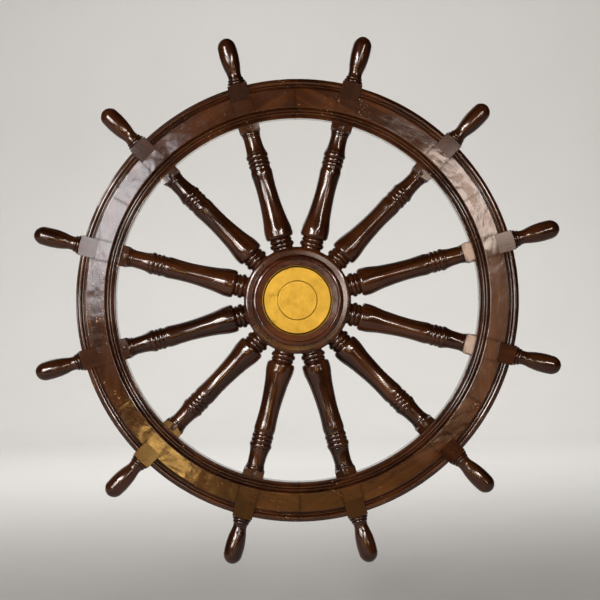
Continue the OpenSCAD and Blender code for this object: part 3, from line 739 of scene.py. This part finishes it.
b = Builder()
rear_seat = COVER_T - 6
b.lathe([(SLEEVE_R + GAP, 0)] + COVER_EDGE + LIP
        + [(LIP_R, rear_seat), (SLEEVE_R + GAP, rear_seat)])
b.turn_to_rear()
b.make("hub_back_cover", "hub_mahogany", at_height(-HUB_H - GAP), 6.4, "hub_rear_cover")

b = Builder()
bore_r, rim_t, well_r = 40, 3.5, CAP_R + 0.5
b.lathe(softened([(bore_r, 0), (PLATE_R, 0), (PLATE_R, 2.2), (PLATE_R - 1.3, rim_t),
                  (CAP_R + 1.5, rim_t), (well_r, 2.6), (well_r, PLATE_T), (bore_r, PLATE_T)],
                 0.6, 0.12))
b.make("brass_face_plate", "satin_brass", at_height(PLATE_W), 1.0, "front_nave_plate")

b = Builder()
centre, cap_t = 0.01, 2.0
b.lathe(softened([(centre, 0), (CAP_R, 0), (CAP_R, 1.2), (CAP_R - 0.9, cap_t), (centre, cap_t)],
                 0.8, 0.12))
b.make("brass_centre_cap", "satin_brass", at_height(PLATE_W + PLATE_T), 2.0, "centre_cap")

b = Builder()
hw = 1.15                     # half the bezel's width: a dark gap is left between it and the plate
b.lathe([(BEZEL_R - 2 * hw, 0), (BEZEL_R, 0)] + sweep(BEZEL_R - hw, 4.4, hw, 1.6, 0, 180, 16))
b.make("brass_bezel", "satin_brass", at_height((MID_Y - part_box("nave_bezel")[1].y) / MM), 3.0,
       "nave_bezel")

# ---- stage, lights and camera ------------------------------------------------------------------

WHEEL = Vector((0, MID_Y, 0))
FLOOR_Z = CAD_BOX[0].z - 0.25


def backdrop():
    """A pale floor that curves up into a pale wall behind the wheel."""
    g = Graph("pale_backdrop")
    at, _ = g.place(own=False)
    g.link(g.mix(g.noise(at, 1.5, 3.0, 0.5), (0.60, 0.59, 0.575), (0.64, 0.63, 0.615)),
           g.bsdf.inputs["Base Color"])
    g.bsdf.inputs["Roughness"].default_value = 0.75
    g.bsdf.inputs["Specular IOR Level"].default_value = 0.2
    front_y, wall_y, bend, height, half_width = -2.0, 9.6, 2.4, 9, 12
    line = [(front_y, FLOOR_Z), (wall_y - bend, FLOOR_Z)]
    line += [(wall_y - bend + bend * math.sin(t), FLOOR_Z + bend - bend * math.cos(t))
             for t in np.linspace(0, math.pi / 2, 24)[1:]]
    line += [(wall_y, FLOOR_Z + height)]
    verts = [(x, y, z) for y, z in line for x in (-half_width, half_width)]
    faces = [(2 * i, 2 * i + 1, 2 * i + 3, 2 * i + 2) for i in range(len(line) - 1)]
    mesh = bpy.data.meshes.new("pale_floor")
    mesh.from_pydata(verts, [], faces)
    mesh.polygons.foreach_set("use_smooth", [True] * len(mesh.polygons))
    mesh.materials.append(g.mat)
    o = bpy.data.objects.new("pale_floor", mesh)
    bpy.context.scene.collection.objects.link(o)


def softbox(name, position, target, size, power, colour, turn=0.0, spread=180):
    """A rectangular light of `power` watts, turned about its aim and spreading so many degrees."""
    light = bpy.data.lights.new(name, "AREA")
    light.shape, light.size, light.size_y = "RECTANGLE", size[0], size[1]
    light.energy, light.color = power, colour
    light.spread = math.radians(spread)
    o = bpy.data.objects.new(name, light)
    bpy.context.scene.collection.objects.link(o)
    o.location = position
    aim = (Vector(target) - Vector(position)).to_track_quat("-Z", "Y")
    o.rotation_euler = (aim @ Quaternion((0, 0, 1), math.radians(turn))).to_euler()


def radiant(name, position, size, radiance, colour, turn=0.0):
    """A softbox of that radiance, whatever its size, aimed at the wheel."""
    softbox(name, position, WHEEL, size, radiance * math.pi * size[0] * size[1], colour, turn)


backdrop()

# Each lamp shows as a reflection on the wheel's front, at about half its own X and Z.
LAMP_Y = -5.1
radiant("window_left", (-1.00, LAMP_Y, 0.45), (0.46, 0.82), 12.5, (0.97, 0.96, 1.0))
radiant("window_right", (0.90, LAMP_Y, 0.53), (0.44, 0.48), 17, (1.0, 0.81, 0.69))
radiant("window_high", (0.36, LAMP_Y, 0.56), (0.50, 0.12), 17, (1.0, 0.88, 0.78), 45)
radiant("centre_right", (0.53, LAMP_Y, 0.04), (0.42, 0.30), 18, (1.0, 0.86, 0.76))
radiant("lamp_low", (-0.75, LAMP_Y, -0.85), (0.26, 0.26), 18, (1.0, 0.58, 0.16))
radiant("lamp_diagonal", (-0.53, LAMP_Y, -0.57), (0.30, 0.08), 20, (1.0, 0.66, 0.28), 45)
radiant("lamp_middle", (0.0, LAMP_Y, -0.68), (0.16, 0.34), 12, (1.0, 0.58, 0.18))
radiant("lamp_right", (0.60, LAMP_Y, -0.56), (0.20, 0.20), 18, (1.0, 0.74, 0.45))
radiant("glow_right", (1.06, LAMP_Y, -0.26), (0.5, 0.9), 1.5, (1.0, 0.50, 0.26))
radiant("lamp_floor", (0.0, LAMP_Y, -1.15), (1.6, 0.30), 1.1, (1.0, 0.50, 0.12))
radiant("wall_left", (-2.9, -4.5, -0.10), (2.2, 0.55), 16, (1.0, 0.95, 0.91))
radiant("slope_mid", (-3.0, LAMP_Y, 0.80), (2.0, 0.5), 27, (1.0, 0.95, 0.91), -15)
radiant("slope_left", (-2.5, LAMP_Y, 1.4), (2.6, 0.45), 40, (1.0, 0.95, 0.91), -30)
radiant("slope_right", (2.2, LAMP_Y, 1.23), (1.9, 0.30), 42, (1.0, 0.90, 0.83), 30)
radiant("wall_right", (3.2, LAMP_Y, 0.05), (0.7, 0.35), 12, (1.0, 0.86, 0.76))
radiant("low_left", (-2.6, LAMP_Y, -1.85), (0.4, 0.4), 6, (1.0, 0.93, 0.88))
softbox("overhead", (0, 4.2, 5.6), (0, 7.0, 0), (9.0, 3.6), 330, (1.0, 0.99, 0.97), spread=120)
softbox("rear_fill", (-2.6, 4.2, 2.8), WHEEL, (4.4, 4.4), 60, (1.0, 0.99, 0.97))

world = bpy.data.worlds.new("dim_room")
world.use_nodes = True
world.node_tree.nodes["Background"].inputs["Color"].default_value = (0.9, 0.92, 1.0, 1)
world.node_tree.nodes["Background"].inputs["Strength"].default_value = 0.008
bpy.context.scene.world = world
bpy.context.scene.view_settings.view_transform = "Standard"

CAMERA_D = 5.0                             # to the framed plane
SENSOR_W = 36.0
UNIT = 2.791 * MM                          # the frame is 600 units wide
FRAME_W = 600 * UNIT
CENTRE_X, CENTRE_Z = 2.5 * UNIT, 0.3 * UNIT
cam_data = bpy.data.cameras.new("camera")
cam_data.sensor_width = SENSOR_W
cam_data.lens = SENSOR_W * CAMERA_D / FRAME_W
cam = bpy.data.objects.new("camera", cam_data)
bpy.context.scene.collection.objects.link(cam)
ROLL = math.radians(-0.7)
FRAMED_Y = MID_Y - 0.7 * RIM_H * MM       # the plane in which the frame is FRAME_W wide
cam.location = (CENTRE_X, FRAMED_Y - CAMERA_D, CENTRE_Z)
cam.rotation_euler = (Matrix.Rotation(math.radians(90), 4, "X")
                      @ Matrix.Rotation(ROLL, 4, "Z")).to_euler()
bpy.context.scene.camera = cam
